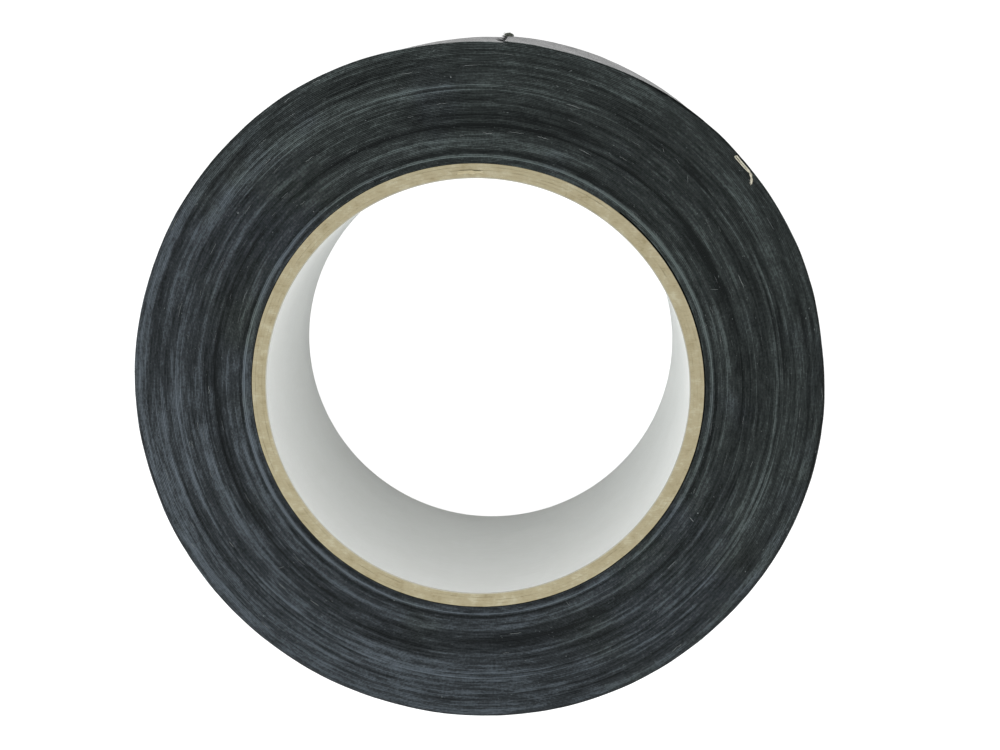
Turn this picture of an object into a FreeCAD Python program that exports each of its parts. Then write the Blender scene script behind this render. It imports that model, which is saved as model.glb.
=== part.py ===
import FreeCAD, Part
import math
import os
import Sketcher
from FreeCAD import Placement, Rotation, Vector

# A roll of cloth grip tape, 50 mm wide and about 25 m long, wound on a spiral
# paper core. The roll lies on its side. The origin is where the axis of the bore
# meets the underside, and +Z runs up the axis. Sizes are in millimetres, angles
# in degrees about +Z.

doc = FreeCAD.newDocument("grip_tape_roll")

driving_sizes = [
    # paper core: a white liner inside kraft plies
    ("core_bore_radius", 38.1),
    ("core_length", 50.0),
    ("liner_thickness", 0.2),
    ("ply_thickness", 0.6),
    ("helix_lead", 110.0),
    ("tight_seam_width", 0.3),
    ("open_seam_width", 1.9),
    # wound tape: its cloth, and the adhesive that bonds its turns short of the edges
    ("tape_width", 50.0),
    ("cloth_thickness", 0.21),
    ("adhesive_thickness", 0.058),
    ("adhesive_setback", 1.0),
    ("wound_turns", 78),
    # free end of the tape, which peels in short strips from crease to crease
    ("free_end_angle", 52.0),
    ("free_end_length", 36.7),
    ("crease_gap", 0.2),
    # frayed yarns and the tuft at the cut end
    ("fray_yarn_radius", 0.09),
    ("tuft_reach", 1.15),
    ("tuft_half_length", 0.7),
    ("tuft_half_depth", 0.5),
    ("tuft_half_height", 0.5),
    ("tuft_lift", 0.1),
    # loose yarn that lies across the upper rim
    ("loose_yarn_radius", 0.32),
    ("loose_yarn_angle", 43.0),
    ("loose_yarn_first_run", 3.2),
    ("loose_yarn_bend_radius", 1.6),
    ("loose_yarn_bend", 30.0),
    ("loose_yarn_second_run", 2.0),
]

sheet = doc.addObject("Spreadsheet::Sheet", "Sizes")
for row, (alias, value) in enumerate(driving_sizes, start=1):
    sheet.set("A%d" % row, alias.replace("_", " "))
    sheet.set("B%d" % row, str(value))
    sheet.setAlias("B%d" % row, alias)
doc.recompute()

# Where the butt seam of each wrap of the core meets the upper end, and the named
# width of that seam. The plies are listed from the liner outwards.
liner_seam = (130.0, "tight_seam_width")
ply_seams = [
    (66.0, "tight_seam_width"),
    (91.5, "open_seam_width"),
    (40.0, "tight_seam_width"),
    (12.0, "tight_seam_width"),
]
strip_count = 4

# Height of each frayed yarn as a share of the tape's width, and its length.
frayed_yarns = [
    (0.07, 0.7),
    (0.16, 1.3),
    (0.29, 0.5),
    (0.43, 0.9),
    (0.52, 0.6),
    (0.68, 1.1),
    (0.81, 0.5),
    (0.93, 1.5),
]

# Expressions that several features share
liner_outer = "(Sizes.core_bore_radius + Sizes.liner_thickness)"
core_outer = "(%s + %d * Sizes.ply_thickness)" % (liner_outer, len(ply_seams))
turn_pitch = "(Sizes.cloth_thickness + Sizes.adhesive_thickness)"
free_end_radius = "(%s + Sizes.adhesive_thickness + (Sizes.wound_turns + 0.25) * %s)" % (
    core_outer,
    turn_pitch,
)


def size(alias):
    return float(getattr(sheet, alias))


def direction(angle):
    """A unit vector at this angle about +Z."""
    return Vector(math.cos(math.radians(angle)), math.sin(math.radians(angle)), 0)


def new_body(label):
    body = doc.addObject("PartDesign::Body", label)
    body.Label = label
    return body


def origin_item(body, role):
    """One of the body's own origin planes or axes."""
    return next(item for item in body.Origin.OriginFeatures if item.Role == role)


def new_sketch(body, role, name):
    sketch = body.newObject("Sketcher::SketchObject", name)
    sketch.AttachmentSupport = [(origin_item(body, role), "")]
    sketch.MapMode = "FlatFace"
    return sketch


def drive(sketch, name, constraint, expression):
    """Add a named constraint that follows an expression."""
    index = sketch.addConstraint(constraint)
    sketch.renameConstraint(index, name)
    sketch.setExpression("Constraints." + name, expression)


def draw_circle(sketch, name, start_radius, expression):
    """Draw a circle about the sketch's origin."""
    circle = Part.Circle(Vector(0, 0, 0), Vector(0, 0, 1), start_radius)
    index = sketch.addGeometry(circle, False)
    sketch.addConstraint(Sketcher.Constraint("Coincident", index, 3, -1, 1))
    drive(sketch, name, Sketcher.Constraint("Radius", index, start_radius), expression)


def draw_rectangle(sketch, low, high):
    """Draw a rectangle with its low and high corners at pairs of expressions."""
    corners = [Vector(1, 1, 0), Vector(2, 1, 0), Vector(2, 2, 0), Vector(1, 2, 0)]
    for index in range(4):
        line = Part.LineSegment(corners[index], corners[(index + 1) % 4])
        sketch.addGeometry(line, False)
    for index in range(4):
        sketch.addConstraint(Sketcher.Constraint("Coincident", index, 2, (index + 1) % 4, 1))
    for index in (0, 2):
        sketch.addConstraint(Sketcher.Constraint("Horizontal", index))
        sketch.addConstraint(Sketcher.Constraint("Vertical", index + 1))
    for name, line, corner, pair in (("low", 0, 1, low), ("high", 2, 2, high)):
        across = Sketcher.Constraint("DistanceX", -1, 1, line, 1, corner)
        drive(sketch, name + "_across", across, pair[0])
        up = Sketcher.Constraint("DistanceY", -1, 1, line, 1, corner)
        drive(sketch, name + "_up", up, pair[1])


# Paper core


def wrap_of_core(label, inner, outer, seam):
    """One helical wrap of the core: a tube with its narrow butt seam cut through."""
    seam_angle, seam_width = seam
    body = new_body(label)

    ring = new_sketch(body, "XY_Plane", label + "_ring")
    draw_circle(ring, "inner_radius", 1.0, inner)
    draw_circle(ring, "outer_radius", 2.0, outer)
    tube = body.newObject("PartDesign::Pad", label + "_tube")
    tube.Profile = ring
    tube.setExpression("Length", "Sizes.core_length")
    doc.recompute()
    whole_volume = tube.Shape.Volume

    # The seam's width is square to the strip's edge, so along the axis it is wider
    # by the slope of the helix. The cut starts about a full turn below the core.
    slope = "cos(atan(Sizes.helix_lead / (2 * pi * %s)))" % inner
    along_axis = "(Sizes.%s / %s)" % (seam_width, slope)
    turns = "(1 + %r / 360)" % seam_angle
    middle = "(Sizes.core_length - %s * Sizes.helix_lead)" % turns
    cutter = new_sketch(body, "XZ_Plane", label + "_seam_section")
    draw_rectangle(
        cutter,
        ("%s - 0.5 * Sizes.ply_thickness" % inner, "%s - %s / 2" % (middle, along_axis)),
        ("%s + 0.5 * Sizes.ply_thickness" % outer, "%s + %s / 2" % (middle, along_axis)),
    )
    doc.recompute()
    seam_cut = body.newObject("PartDesign::SubtractiveHelix", label + "_seam")
    seam_cut.Profile = cutter
    seam_cut.ReferenceAxis = (origin_item(body, "Z_Axis"), [""])
    seam_cut.Mode = "pitch-height-angle"
    seam_cut.setExpression("Pitch", "Sizes.helix_lead")
    seam_cut.setExpression("Height", "%s * Sizes.helix_lead + 2 * %s" % (turns, along_axis))
    doc.recompute()
    if not seam_cut.Shape.Volume < whole_volume:
        raise RuntimeError(label + ": the seam cuts nothing")
    return body


def paper_core():
    """The white liner and the kraft plies around it."""
    wraps = [wrap_of_core("core_liner", "Sizes.core_bore_radius", liner_outer, liner_seam)]
    for number, seam in enumerate(ply_seams, start=1):
        inner = "(%s + %d * Sizes.ply_thickness)" % (liner_outer, number - 1)
        outer = "(%s + %d * Sizes.ply_thickness)" % (liner_outer, number)
        wraps.append(wrap_of_core("core_ply_%d" % number, inner, outer, seam))
    return wraps


# Wound tape


def core_radius():
    wall = size("liner_thickness") + len(ply_seams) * size("ply_thickness")
    return size("core_bore_radius") + wall


def half_turn(number):
    """Centre and inner radius of one half turn of the tape.

    The spiral is made of half circles. Their centres lie a quarter of the pitch
    to either side of the axis, in turn, so each one runs on into the next.
    """
    pitch = size("cloth_thickness") + size("adhesive_thickness")
    side = 1 if number % 2 else -1
    centre = direction(size("free_end_angle")) * (side * pitch / 4)
    radius = core_radius() + size("adhesive_thickness") + pitch / 4 + number * pitch / 2
    return centre, radius


def arc_edge(centre, radius, start, end):
    points = [centre + direction(angle) * radius for angle in (start, (start + end) / 2, end)]
    return Part.Arc(*points).toShape()


def rim_and_strip():
    """Two faces of the winding: all that its rim encloses, and the cloth alone."""
    cloth = size("cloth_thickness")
    half_turns = 2 * int(size("wound_turns"))
    inside = []
    outside = []
    for number in range(half_turns):
        centre, radius = half_turn(number)
        start = size("free_end_angle") + 180 * number
        end = start + 180
        if number == half_turns - 1:
            end -= math.degrees(size("crease_gap") / 2 / radius)
        inside.append(arc_edge(centre, radius, start, end))
        outside.append(arc_edge(centre, radius + cloth, start, end))
    tape_start = Part.makeLine(inside[0].Vertexes[0].Point, outside[0].Vertexes[0].Point)
    tape_root = Part.makeLine(inside[-1].Vertexes[-1].Point, outside[-1].Vertexes[-1].Point)
    strip = Part.Face(Part.Wire(Part.__sortEdges__(inside + outside + [tape_start, tape_root])))

    # The rim is the outer face of the last turn, closed by a step down at its root.
    root = outside[-1].Vertexes[-1].Point
    turn_start = outside[-2].Vertexes[0].Point
    step = Part.makeLine(root, turn_start)
    return Part.Wire([outside[-2], outside[-1], step]), strip


def tape_winding():
    """The wound tape, one strip in a true spiral bonded turn to turn by its adhesive.

    The adhesive stops short of the strip's edges, so both side faces of the roll
    are the bare edges of the cloth with a fine spiral groove between the turns.
    """
    rim, strip = rim_and_strip()
    core = Part.Wire([Part.makeCircle(core_radius())])
    bonded_face = Part.Face(rim).cut(Part.Face(core))
    setback = size("adhesive_setback")
    width = size("tape_width")
    lower_edge = strip.extrude(Vector(0, 0, setback))
    upper_edge = lower_edge.translated(Vector(0, 0, width - setback))
    bonded = bonded_face.extrude(Vector(0, 0, width - 2 * setback))
    bonded.translate(Vector(0, 0, setback))
    winding = doc.addObject("Part::Feature", "tape_winding")
    winding.Label = "tape_winding"
    winding.Shape = bonded.fuse([lower_edge, upper_edge]).Solids[0]
    winding.Placement = Placement()
    return winding


def free_end_turn():
    """Centre and angle per millimetre of the arc on which the free end lies."""
    centre, radius = half_turn(2 * int(size("wound_turns")))
    return centre, math.degrees(1 / radius)


def tape_end(number):
    """One stiff strip of the free end, from its crease to the next one."""
    body = new_body("tape_end_%d" % number)
    outline = new_sketch(body, "XZ_Plane", "tape_end_%d_section" % number)
    draw_rectangle(
        outline,
        (free_end_radius, "0"),
        (free_end_radius + " + Sizes.cloth_thickness", "Sizes.tape_width"),
    )
    strip = body.newObject("PartDesign::Revolution", "tape_end_%d_strip" % number)
    strip.Profile = outline
    strip.ReferenceAxis = (origin_item(body, "Z_Axis"), [""])
    # The last strip keeps its whole length: the tape is cut there, not creased.
    creases = 0.5 if number == strip_count else 1.0
    length = "(Sizes.free_end_length / %d - %r * Sizes.crease_gap)" % (strip_count, creases)
    strip.setExpression("Angle", "%s / %s * 180 / pi" % (length, free_end_radius))
    centre, angle_per_mm = free_end_turn()
    run = size("free_end_length") / strip_count * (number - 1) + size("crease_gap") / 2
    turn = Rotation(Vector(0, 0, 1), size("free_end_angle") + run * angle_per_mm)
    body.Placement = Placement(centre, turn)
    return body


def cut_end():
    """Middle of the cut face's lower edge, the way on along the tape, and the way out."""
    centre, radius = half_turn(2 * int(size("wound_turns")))
    angle = size("free_end_angle") + math.degrees(size("free_end_length") / radius)
    middle = centre + direction(angle) * (radius + size("cloth_thickness") / 2)
    return middle, direction(angle + 90), direction(angle)


def stub(label, start, along, length):
    """A straight bit of yarn that starts at a point."""
    yarn = doc.addObject("Part::Cylinder", label)
    yarn.setExpression("Radius", "Sizes.fray_yarn_radius")
    yarn.Height = length
    yarn.Placement = Placement(start, Rotation(Vector(0, 0, 1), along))
    return yarn


def cut_end_fray():
    """The lengthwise yarns that stand out of the cut end."""
    middle, along, _ = cut_end()
    stubs = []
    for number, (share, length) in enumerate(frayed_yarns, start=1):
        start = middle + Vector(0, 0, share * size("tape_width"))
        stubs.append(stub("fray_%d" % number, start, along, length))
    group = doc.addObject("Part::Compound", "frayed_yarns")
    group.Label = "frayed_yarns"
    group.Links = stubs
    return group


def end_tuft():
    """The clump of fibre and adhesive on a yarn at the lower corner of the cut."""
    middle, along, outward = cut_end()
    height = size("tuft_half_height") + size("tuft_lift")
    yarn_height = Vector(0, 0, height)
    yarn = stub("tuft_yarn", middle + yarn_height, along, size("tuft_reach"))
    clump = doc.addObject("Part::Ellipsoid", "tuft_clump")
    clump.setExpression("Radius1", "Sizes.tuft_half_height")
    clump.setExpression("Radius2", "Sizes.tuft_half_length")
    clump.setExpression("Radius3", "Sizes.tuft_half_depth")
    rise = size("tuft_half_depth") - size("cloth_thickness") / 2 + size("tuft_lift")
    place = middle + yarn_height + along * size("tuft_reach") + outward * rise
    heading = math.degrees(math.atan2(along.y, along.x))
    clump.Placement = Placement(place, Rotation(Vector(0, 0, 1), heading))
    tuft = doc.addObject("Part::Fuse", "end_tuft")
    tuft.Label = "end_tuft"
    tuft.Base = clump
    tuft.Tool = yarn
    return tuft


# Loose yarn


def loose_yarn():
    """A bent bit of yarn that lies on the upper face, from the rim inwards."""
    body = new_body("loose_yarn")
    first = size("loose_yarn_first_run")
    bend_radius = size("loose_yarn_bend_radius")
    bend = math.radians(size("loose_yarn_bend"))

    path = new_sketch(body, "XY_Plane", "loose_yarn_path")
    corner = Vector(first, 0, 0)
    centre = Vector(first, -bend_radius, 0)
    arc_start = math.pi / 2 - bend
    after_bend = centre + Vector(math.cos(arc_start), math.sin(arc_start), 0) * bend_radius
    heading = Vector(math.cos(bend), -math.sin(bend), 0)
    far = after_bend + heading * size("loose_yarn_second_run")
    path.addGeometry(Part.LineSegment(Vector(0, 0, 0), corner), False)
    circle = Part.Circle(centre, Vector(0, 0, 1), bend_radius)
    path.addGeometry(Part.ArcOfCircle(circle, arc_start, math.pi / 2), False)
    path.addGeometry(Part.LineSegment(after_bend, far), False)
    path.addConstraint(Sketcher.Constraint("Coincident", 0, 1, -1, 1))
    path.addConstraint(Sketcher.Constraint("Horizontal", 0))
    path.addConstraint(Sketcher.Constraint("Tangent", 0, 2, 1, 2))
    path.addConstraint(Sketcher.Constraint("Tangent", 1, 1, 2, 1))
    first_run = Sketcher.Constraint("Distance", 0, first)
    drive(path, "first_run", first_run, "Sizes.loose_yarn_first_run")
    second_run = Sketcher.Constraint("Distance", 2, size("loose_yarn_second_run"))
    drive(path, "second_run", second_run, "Sizes.loose_yarn_second_run")
    radius = Sketcher.Constraint("Radius", 1, bend_radius)
    drive(path, "bend_radius", radius, "Sizes.loose_yarn_bend_radius")
    bend_angle = Sketcher.Constraint("Angle", 2, 1, 0, 1, bend)
    drive(path, "bend", bend_angle, "Sizes.loose_yarn_bend * 1 deg")

    end_face = new_sketch(body, "YZ_Plane", "loose_yarn_section")
    draw_circle(end_face, "yarn_radius", 0.3, "Sizes.loose_yarn_radius")
    doc.recompute()
    yarn = body.newObject("PartDesign::AdditivePipe", "loose_yarn_run")
    yarn.Profile = end_face
    yarn.Spine = (path, [])

    # It heads down the rim's clockwise side, 7 degrees in from the tangent.
    _, radius_of_last_turn = half_turn(2 * int(size("wound_turns")) - 1)
    angle = size("loose_yarn_angle")
    start = direction(angle) * (radius_of_last_turn - size("loose_yarn_radius"))
    start.z = size("tape_width") + size("loose_yarn_radius")
    inward_of_tangent = 7.0
    heading = angle - 90 - inward_of_tangent
    body.Placement = Placement(start, Rotation(Vector(0, 0, 1), heading))
    return body


# Build, check and write


def check_document():
    for item in doc.Objects:
        if any(flag in ("Invalid", "Error") for flag in item.State):
            raise RuntimeError("%s failed: %s" % (item.Label, item.State))


def check_shape(item, solid_count):
    shape = item.Shape
    if shape.isNull() or not shape.isValid():
        raise RuntimeError(item.Label + " has no valid shape")
    if len(shape.Solids) != solid_count:
        raise RuntimeError("%s has %d solids" % (item.Label, len(shape.Solids)))


pieces = paper_core()
pieces.append(tape_winding())
pieces.extend(tape_end(number) for number in range(1, strip_count + 1))
fray = cut_end_fray()
pieces.append(fray)
pieces.append(end_tuft())
pieces.append(loose_yarn())
doc.recompute()

check_document()
for piece in pieces:
    check_shape(piece, len(frayed_yarns) if piece is fray else 1)
os.makedirs("parts", exist_ok=True)
for piece in pieces:
    piece.Shape.exportStep("parts/%s.step" % piece.Label)
    print("%-14s %10.3f mm3" % (piece.Label, piece.Shape.Volume))
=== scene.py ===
# Looks of the grip tape roll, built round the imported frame.
# Z up. The roll lies on its side, and its bore runs up the Z axis. The camera and the
# lights are placed in metres, and the pieces are sized in millimetres.
import math

import bpy
import numpy as np
from mathutils import Matrix, Vector


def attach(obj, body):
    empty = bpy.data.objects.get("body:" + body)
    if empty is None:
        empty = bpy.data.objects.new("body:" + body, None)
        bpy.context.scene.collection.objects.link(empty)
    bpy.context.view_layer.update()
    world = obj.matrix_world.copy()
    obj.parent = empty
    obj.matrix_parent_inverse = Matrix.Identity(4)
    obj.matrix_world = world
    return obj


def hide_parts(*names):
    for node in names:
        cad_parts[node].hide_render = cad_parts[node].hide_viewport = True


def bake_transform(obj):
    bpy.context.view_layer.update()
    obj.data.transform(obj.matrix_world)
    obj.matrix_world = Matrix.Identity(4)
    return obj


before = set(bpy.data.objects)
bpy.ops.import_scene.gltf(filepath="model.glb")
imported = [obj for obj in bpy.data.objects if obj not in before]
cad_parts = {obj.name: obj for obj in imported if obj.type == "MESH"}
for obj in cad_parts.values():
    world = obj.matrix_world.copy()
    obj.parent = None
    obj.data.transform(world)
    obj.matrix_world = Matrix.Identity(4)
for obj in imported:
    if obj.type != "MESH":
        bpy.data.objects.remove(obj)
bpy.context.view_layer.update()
scene = bpy.context.scene
mm = 0.001
print("frame loaded:", len(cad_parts), "nodes")


cameraSetup = {
    "place": (0.0159, 0.06115, 0.33516),
    "right": (0.9992, 0.0, -0.0411),
    "up": (-0.0082, 0.9799, -0.1995),
    "back": (0.0403, 0.1996, 0.9790),
    "lens": 58.5,
}
lightSetup = {
    "zenith": 0.24,
    "horizon": 1.38,
    "keyPower": 7.5,
    "keyPlace": (-0.40, -0.25, 1.02),
    "fillPower": 2.8,
    "fillPlace": (0.35, -0.50, 1.0),
    "size": 0.55,
    "colour": (0.95, 0.99, 1.0),
    "aim": (0.0, 0.0, 0.03),
}


def placeCamera():
    data = bpy.data.cameras.new("rollCamera")
    data.lens = cameraSetup["lens"]
    data.sensor_width = 36.0
    data.clip_start = 0.01
    data.clip_end = 20.0
    camera = bpy.data.objects.new("rollCamera", data)
    scene.collection.objects.link(camera)
    axes = [Vector(cameraSetup[name]) for name in ("right", "up", "back")]
    turn = Matrix(axes).transposed().to_4x4()
    camera.matrix_world = Matrix.Translation(cameraSetup["place"]) @ turn
    scene.camera = camera


def softLight(name, power, place):
    data = bpy.data.lights.new(name, "AREA")
    data.energy = power
    data.shape = "DISK"
    data.size = lightSetup["size"]
    data.color = lightSetup["colour"]
    lamp = bpy.data.objects.new(name, data)
    lamp.location = place
    aim = Vector(lightSetup["aim"]) - Vector(place)
    lamp.rotation_euler = aim.to_track_quat("-Z", "Y").to_euler()
    scene.collection.objects.link(lamp)


# White walls all round, brighter than the ceiling overhead.
def paleRoom():
    world = bpy.data.worlds.new("paleRoom")
    world.use_nodes = True
    tree = world.node_tree
    coords = tree.nodes.new("ShaderNodeTexCoord")
    split = tree.nodes.new("ShaderNodeSeparateXYZ")
    tree.links.new(coords.outputs["Generated"], split.inputs[0])
    fade = tree.nodes.new("ShaderNodeMapRange")
    fade.inputs["To Min"].default_value = lightSetup["horizon"]
    fade.inputs["To Max"].default_value = lightSetup["zenith"]
    tree.links.new(split.outputs[2], fade.inputs["Value"])
    tree.nodes["Background"].inputs["Color"].default_value = (1.0, 1.0, 1.0, 1.0)
    tree.links.new(fade.outputs[0], tree.nodes["Background"].inputs["Strength"])
    scene.world = world


placeCamera()
softLight("keyLight", lightSetup["keyPower"], lightSetup["keyPlace"])
softLight("fillLight", lightSetup["fillPower"], lightSetup["fillPlace"])
paleRoom()
scene.view_settings.view_transform = "Standard"


dice = np.random.default_rng(17)
lattice = dice.random(8192)


def latticeValue(column, row):
    place = (column.astype(np.int64) * 73 + row.astype(np.int64) * 1999) % 8191
    return lattice[place]


# Smooth noise from -1 to 1 over two coordinates, given as arrays.
def smoothNoise(across, along, seed=0):
    across = np.asarray(across, float) + seed * 17.31
    along = np.asarray(along, float) + seed * 5.77
    across, along = np.broadcast_arrays(across, along)
    column, row = np.floor(across), np.floor(along)
    u, v = across - column, along - row
    u, v = u * u * (3 - 2 * u), v * v * (3 - 2 * v)
    low = latticeValue(column, row) * (1 - u) + latticeValue(column + 1, row) * u
    high = latticeValue(column, row + 1) * (1 - u) + latticeValue(column + 1, row + 1) * u
    return 2 * (low * (1 - v) + high * v) - 1


# The same, but going round a circle: count is how many features fit round it.
def roundNoise(azimuth, count, other, seed=0):
    reach = count / math.tau
    a = np.radians(azimuth)
    one = smoothNoise(np.cos(a) * reach, np.sin(a) * reach + np.asarray(other) * 3.1, seed)
    two = smoothNoise(np.sin(a) * reach + np.asarray(other) * 2.3, np.cos(a) * reach, seed + 3)
    return 0.7 * (one + two)


# The faces between one row of closed rings of points and the next, given as indices.
def facesBetween(here, after):
    corners = [here, np.roll(here, -1, axis=1), np.roll(after, -1, axis=1), after]
    return np.stack(corners, axis=-1).reshape(-1, 4)


# rings holds stations x profile points x 3. Each profile is a closed loop with an even
# number of points, the outer side going one way and the inner side coming back.
# The end caps and the columns in flatColumns keep a crisp edge in the shading.
def loft(name, rings, materials, closed=False, columnSlots=None, marks=None, flatColumns=()):
    stations, profile, _ = rings.shape
    index = np.arange(stations * profile).reshape(stations, profile)
    after = np.roll(index, -1, axis=0) if closed else index[1:]
    here = index if closed else index[:-1]
    quads = facesBetween(here, after)
    slots = np.tile(np.zeros(profile) if columnSlots is None else columnSlots, len(here))
    smooth = np.tile(~np.isin(np.arange(profile), flatColumns), len(here))
    if not closed:
        half = profile // 2
        low = np.arange(half - 1)
        cap = np.stack([low, profile - 1 - low, profile - 2 - low, low + 1], axis=-1)
        lastCap = cap[:, ::-1] + (stations - 1) * profile
        quads = np.concatenate([quads, cap, lastCap])
        slots = np.concatenate([slots, np.zeros(2 * len(cap))])
        smooth = np.concatenate([smooth, np.zeros(2 * len(cap), bool)])
    points = rings.reshape(-1, 3)
    return meshPiece(name, points, quads, materials, slots, marks, smooth)


def meshPiece(name, points, quads, materials, slots=None, marks=None, smooth=None):
    a, b, c, d = (points[quads[:, k]] for k in range(4))
    volume = (a * np.cross(b, c)).sum() + (a * np.cross(c, d)).sum()
    if volume < 0:
        quads = quads[:, ::-1]
    mesh = bpy.data.meshes.new(name)
    mesh.vertices.add(len(points))
    mesh.vertices.foreach_set("co", (points * mm).astype(np.float32).ravel())
    mesh.loops.add(quads.size)
    mesh.loops.foreach_set("vertex_index", quads.astype(np.int32).ravel())
    mesh.polygons.add(len(quads))
    mesh.polygons.foreach_set("loop_start", np.arange(0, quads.size, 4, dtype=np.int32))
    mesh.polygons.foreach_set("use_smooth", np.ones(len(quads), bool) if smooth is None else smooth)
    for material in materials:
        mesh.materials.append(material)
    if slots is not None:
        mesh.polygons.foreach_set("material_index", slots.astype(np.int32))
    for markName, values in (marks or {}).items():
        values = np.asarray(values, np.float32)
        if values.ndim > 1 and values.shape[-1] == 3:
            layer = mesh.attributes.new(markName, "FLOAT_VECTOR", "POINT")
            layer.data.foreach_set("vector", values.ravel())
        else:
            layer = mesh.attributes.new(markName, "FLOAT", "POINT")
            layer.data.foreach_set("value", values.ravel())
    mesh.update(calc_edges=True)
    if smooth is not None:  # the borders of the flat faces stay crisp
        edges = np.zeros(quads.size, np.int32)
        mesh.loops.foreach_get("edge_index", edges)
        sharp = np.zeros(len(mesh.edges), bool)
        sharp[edges.reshape(-1, 4)[~smooth]] = True
        mesh.attributes.new("sharp_edge", "BOOLEAN", "EDGE").data.foreach_set("value", sharp)
    mesh.validate()
    piece = bpy.data.objects.new(name, mesh)
    scene.collection.objects.link(piece)
    return piece


# A bundle of thin strands as one mesh. Each strand is (points, radius, tone).
def strandMesh(name, strands, materials, sides=4):
    points, quads, tones = [], [], []
    for path, radius, tone in strands:
        path = np.asarray(path, float)
        count = len(path)
        ahead = np.gradient(path, axis=0)
        ahead /= np.linalg.norm(ahead, axis=1)[:, None] + 1e-12
        side = np.cross(ahead, (0.13, 0.21, 0.97))
        side /= np.linalg.norm(side, axis=1)[:, None] + 1e-12
        lift = np.cross(side, ahead)
        start = sum(len(block) for block in points)
        wide = np.full(count, radius)
        wide[[0, -1]] *= 0.35
        around = np.arange(sides) * math.tau / sides
        spokes = side[:, None] * np.cos(around)[:, None] + lift[:, None] * np.sin(around)[:, None]
        ring = path[:, None] + spokes * wide[:, None, None]
        points.append(ring.reshape(-1, 3))
        index = np.arange(count * sides).reshape(count, sides) + start
        quads.append(facesBetween(index[:-1], index[1:]))
        for low in range(0, sides - 2, 2):  # faces that close the ends
            corners = [0, low + 1, low + 2, (low + 3) % sides]
            quads.append(index[:1, corners[::-1]])
            quads.append(index[-1:, corners])
        tones.append(np.full(count * sides, tone))
    marks = {"tone": np.concatenate(tones)}
    return meshPiece(name, np.concatenate(points), np.concatenate(quads), materials, marks=marks)


# A node group that takes a vector and named values, and puts out values.
def newGroup(name, outputs, **inputs):
    tree = bpy.data.node_groups.new(name, "ShaderNodeTree")
    tree.interface.new_socket("Vector", in_out="INPUT", socket_type="NodeSocketVector")
    for label, value in inputs.items():
        socket = tree.interface.new_socket(label.replace("_", " "), in_out="INPUT",
                                           socket_type="NodeSocketFloat")
        socket.default_value = value
    for label in outputs:
        tree.interface.new_socket(label, in_out="OUTPUT", socket_type="NodeSocketFloat")
    return tree, tree.nodes.new("NodeGroupInput"), tree.nodes.new("NodeGroupOutput")


def mathNode(tree, kind, *values):
    node = tree.nodes.new("ShaderNodeMath")
    node.operation = kind
    for socket, value in zip(node.inputs, values):
        feed(tree, value, socket)
    return node.outputs[0]


# Sum of values. A term is a value, or a pair of a value and its weight.
def total(tree, *terms):
    parts = [mathNode(tree, "MULTIPLY", *t) if isinstance(t, tuple) else t for t in terms]
    value = parts[0]
    for part in parts[1:]:
        value = mathNode(tree, "ADD", value, part)
    return value


def vectorNode(tree, kind, *values):
    node = tree.nodes.new("ShaderNodeVectorMath")
    node.operation = kind
    for socket, value in zip(node.inputs, values):
        feed(tree, value, socket)
    return node.outputs["Value" if kind in ("LENGTH", "DOT_PRODUCT") else "Vector"]


def feed(tree, value, socket):
    if isinstance(value, bpy.types.NodeSocket):
        tree.links.new(value, socket)
    else:
        socket.default_value = value


def splitVector(tree, vector):
    node = tree.nodes.new("ShaderNodeSeparateXYZ")
    tree.links.new(vector, node.inputs[0])
    return node.outputs


def joinVector(tree, *values):
    node = tree.nodes.new("ShaderNodeCombineXYZ")
    for socket, value in zip(node.inputs, values):
        feed(tree, value, socket)
    return node.outputs[0]


def noiseNode(tree, vector, scale, detail=2.0, rough=0.5):
    node = tree.nodes.new("ShaderNodeTexNoise")
    node.inputs["Scale"].default_value = scale
    node.inputs["Detail"].default_value = detail
    node.inputs["Roughness"].default_value = rough
    tree.links.new(vector, node.inputs["Vector"])
    return node.outputs["Fac"]


def rangeNode(tree, value, low, high, outLow=0.0, outHigh=1.0, smooth=True):
    node = tree.nodes.new("ShaderNodeMapRange")
    node.interpolation_type = "SMOOTHSTEP" if smooth else "LINEAR"
    for key, amount in zip(("Value", "From Min", "From Max", "To Min", "To Max"),
                           (value, low, high, outLow, outHigh)):
        feed(tree, amount, node.inputs[key])
    return node.outputs[0]


def mixColour(tree, factor, first, second, blend="MIX"):
    node = tree.nodes.new("ShaderNodeMix")
    node.data_type = "RGBA"
    node.blend_type = blend
    feed(tree, factor, node.inputs["Factor"])
    for key, colour in (("A", first), ("B", second)):
        socket = [s for s in node.inputs if s.name == key and s.type == "RGBA"][0]
        feed(tree, colour if isinstance(colour, bpy.types.NodeSocket) else (*colour, 1.0), socket)
    return [s for s in node.outputs if s.type == "RGBA"][0]


# Streaks that run round the axis of the roll. Around is how often they change in going
# round, Across how often in going out from the axis, per millimetre.
def buildStreaks():
    tree, given, result = newGroup("ringStreaks", ["Value"], Around=10.0, Across=2.0, Shift=0.0)
    flat = vectorNode(tree, "MULTIPLY", given.outputs["Vector"], (1.0, 1.0, 0.0))
    distance = vectorNode(tree, "LENGTH", flat)
    ray = vectorNode(tree, "NORMALIZE", flat)
    around = [mathNode(tree, "MULTIPLY", part, given.outputs["Around"])
              for part in splitVector(tree, ray)[:2]]
    out = mathNode(tree, "MULTIPLY", distance, given.outputs["Across"])
    place = joinVector(tree, *around, mathNode(tree, "ADD", out, given.outputs["Shift"]))
    tree.links.new(noiseNode(tree, place, 1.0, 2.0, 0.55), result.inputs[0])
    return tree


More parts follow.
